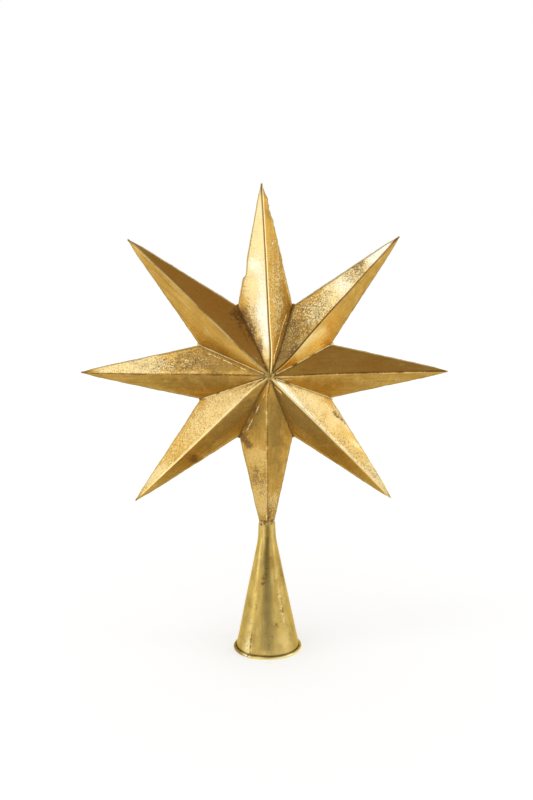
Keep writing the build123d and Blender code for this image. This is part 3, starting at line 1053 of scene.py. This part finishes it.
def drawn_wire():
    """Plain drawn steel wire with die marks along it and a little rust."""
    graph = Graph(bpy.data.materials.new("drawn_wire"))
    where = graph.coordinates()
    x, y, height = graph.axes(where)
    round_ring = graph.combine(graph.length(x, y), height, graph.math("ARCTAN2", y, x))
    mark = graph.noise(round_ring, 0.2 * MM, detail=2)
    rust = graph.noise(where, 4 * MM, detail=5)
    steel = graph.layers(STEEL, (mark, 0.3, 0.7, 1.0, BRIGHT_STEEL), (rust, 0.56, 0.7, 0.8, RUST))
    graph.feed("Base Color", steel)
    graph.feed("Roughness", graph.ramp(rust, 0.4, 0.7, 0.3, 0.65))
    graph.feed("Metallic", 1.0)
    graph.feed("Normal", graph.bump(mark, 0.02 * MM, 0.6))
    return graph.owner


gilt = gilt_leaf()
solder = gilt_solder()

for turn in range(RAYS):
    for half, outward in (("front", FRONT), ("back", BACK)):
        node = f"{half}_ray_{turn + 1}"
        half_ray(turn, outward).make(f"{half}_{NAMES[turn]}_ray", gilt, "gilt_sheet", node)
edge_solder().make("edge_solder_beads", solder, "gilt_solder", "edge_solder")
corner_solder().make("corner_solder_lumps", solder, "gilt_solder", "corner_solder")
centre_solder(FRONT).make("front_centre_lump", solder, "gilt_solder", "front_centre_solder")
centre_solder(BACK).make("back_centre_lump", solder, "gilt_solder", "back_centre_solder")
neck_solder().make("neck_solder_collar", solder, "gilt_solder", "neck_solder")
socket_cone().make("rolled_socket_cone", cone_brass(), "gilt_cone", "socket_cone")
rim_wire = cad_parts["rim_wire"].data
rim_wire.materials.clear()
rim_wire.materials.append(drawn_wire())


# Camera: where it stands round the star, in degrees and metres
CAMERA_AZIMUTH, CAMERA_ELEVATION, CAMERA_ROLL = -2.05, 9.14, -0.38
CAMERA_DISTANCE = 0.650
CAMERA_TARGET = Vector((0.0003, 0.0, 0.1698))
CAMERA_LENS = 44.75

camera = add_object("camera", bpy.data.cameras.new("camera"))
azimuth, elevation = math.radians(CAMERA_AZIMUTH), math.radians(CAMERA_ELEVATION)
level = math.cos(elevation)
back = Vector((math.sin(azimuth) * level, -math.cos(azimuth) * level, math.sin(elevation)))
right = Vector((math.cos(azimuth), math.sin(azimuth), 0))
facing = Matrix((right, back.cross(right), back)).transposed()
facing = facing @ Matrix.Rotation(math.radians(CAMERA_ROLL), 3, "Z")
camera.matrix_world = Matrix.Translation(CAMERA_TARGET + back * CAMERA_DISTANCE) @ facing.to_4x4()
camera.data.lens = CAMERA_LENS
camera.data.clip_start = 0.01
bpy.context.scene.camera = camera
bpy.context.scene.view_settings.view_transform = "Standard"

STAR_CENTRE = Vector((0, 0, STAR_Z))


def softbox(name, where, width, height, level):
    """Area lamp that faces the star, placed from its centre; level is the brightness of its face."""
    lamp = bpy.data.lights.new(name, "AREA")
    lamp.shape = "RECTANGLE"
    lamp.size, lamp.size_y = width, height
    lamp.energy = level * math.pi * width * height
    box = add_object(name, lamp)
    box.location = STAR_CENTRE + Vector(where)
    box.rotation_euler = (STAR_CENTRE - box.location).to_track_quat("-Z", "Y").to_euler()
    box.visible_camera = False


softbox("left_box", (-0.62, -0.17, 0.1), 0.3, 0.6, 0.75)
softbox("upper_left_box", (-0.24, -0.15, 0.56), 0.24, 0.24, 1.75)
softbox("right_box", (0.62, -0.15, 0.11), 0.28, 0.48, 0.85)


def grey_card():
    """Card behind the camera, bent forward at its foot, that gives the metal something dark to reflect."""
    mesh = bpy.data.meshes.new("grey_card")
    section = ((-0.4, 0.001), (-0.95, 0.001), (-0.95, 0.8))
    corners = [(x, y, z) for y, z in section for x in (-0.5, 0.5)]
    mesh.from_pydata(corners, [], [(0, 1, 3, 2), (2, 3, 5, 4)])
    card = add_object("grey_card", mesh)
    graph = Graph(bpy.data.materials.new("grey_card"))
    x, _, _ = graph.axes(graph.coordinates())
    shade = graph.ramp(graph.math("ABSOLUTE", x), 0.06, 0.5, 0.42, 0.9)
    graph.feed("Base Color", graph.combine(shade, shade, shade))
    graph.feed("Roughness", 0.9)
    mesh.materials.append(graph.owner)
    card.visible_camera = False
    card.visible_diffuse = False
    card.visible_shadow = False


def studio_world():
    """White backdrop round the horizon and a dimmer ceiling."""
    world = bpy.data.worlds.new("studio")
    bpy.context.scene.world = world
    graph = Graph(world, "Background")
    _, _, height = graph.axes(graph.coordinates("Generated"))
    graph.feed("Strength", graph.ramp(height, 0.3, 0.75, 1.0, 0.5))
    graph.feed("Color", (1, 1, 1, 1))


def studio_floor():
    """Pale floor. It shows and reflects as white, and the topper's shadow stays on it. Its glow is dimmer
    close to the topper, a painted shade round the base.
    """
    mesh = bpy.data.meshes.new("floor")
    mesh.from_pydata([(-4, -4, 0), (4, -4, 0), (4, 4, 0), (-4, 4, 0)], [], [(0, 1, 2, 3)])
    floor = add_object("floor", mesh)
    graph = Graph(bpy.data.materials.new("pale_floor"))
    graph.feed("Base Color", (0.8, 0.8, 0.79, 1))
    graph.feed("Roughness", 0.9)
    graph.feed("Specular IOR Level", 0.1)
    path = graph.node("ShaderNodeLightPath").outputs
    seen = graph.total(path["Is Camera Ray"], path["Is Glossy Ray"])
    seen = graph.math("ADD", seen, path["Is Transmission Ray"], clamp=True)
    x, y, _ = graph.axes(graph.coordinates())
    # Painted shade: the floor's glow is dimmer close to the topper
    lift = graph.ramp(graph.length(x, y), 0.1, 0.6, 0.42, 0.58)
    graph.feed("Emission Color", (1, 1, 1, 1))
    graph.feed("Emission Strength", graph.times(seen, lift))
    mesh.materials.append(graph.owner)
    floor.location.z = -0.02 * MM


grey_card()
studio_world()
studio_floor()
